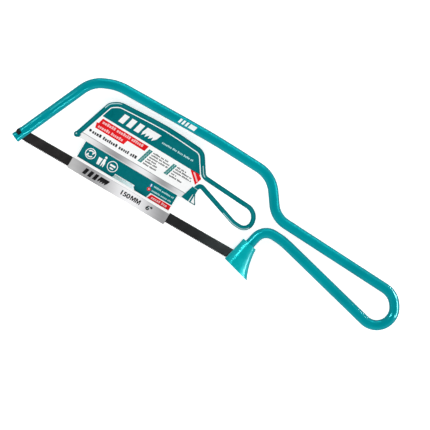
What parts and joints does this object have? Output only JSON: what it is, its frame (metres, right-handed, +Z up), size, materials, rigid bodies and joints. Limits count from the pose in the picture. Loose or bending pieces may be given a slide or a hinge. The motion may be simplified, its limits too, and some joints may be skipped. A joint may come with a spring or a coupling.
{
  "type": "mini hacksaw",
  "caption": "Mini hacksaw with a bent steel rod frame, loop handle, pin-end blade, sliding flared finger guard and a folded display card round the blade.",
  "frame": {"origin": "centre of the footprint of the saw lying on its side, on the surface it lies on", "axes": "+X along the blade from nose to handle, +Y from the teeth to the bow, +Z up through the saw's thickness"},
  "size_m": [0.2448, 0.0642, 0.014],
  "materials": {
    "frame_paint": "glossy",
    "blade_steel": "satin",
    "pin_steel": "satin",
    "guard_plastic": "glossy",
    "card_panel": "satin",
    "card_sleeve": "satin"
  },
  "bodies": {
    "frame": {"bow_frame": "frame_paint", "blade": "blade_steel", "front_blade_pin": "pin_steel", "rear_blade_pin": "pin_steel"},
    "guard": {"finger_guard": "guard_plastic"},
    "card": {"label_panel": "card_panel"},
    "sleeve": {"label_sleeve": "card_sleeve"}
  },
  "joints": [
    {"name": "guard_slide", "type": "slide", "parent": "frame", "child": "guard", "axis": [0.2177, 0.976, 0], "range_m": [0, 0.0045]},
    {"name": "card_slide", "type": "slide", "parent": "frame", "child": "card", "axis": [1, 0, 0], "range_m": [-0.012, 0.002]},
    {"name": "sleeve_fold", "type": "hinge", "parent": "card", "child": "sleeve", "pos_m": [-0.08511, -0.02689, 0.00775], "axis": [0.9999, -0.014, 0], "range_deg": [0, 150]}
  ]
}
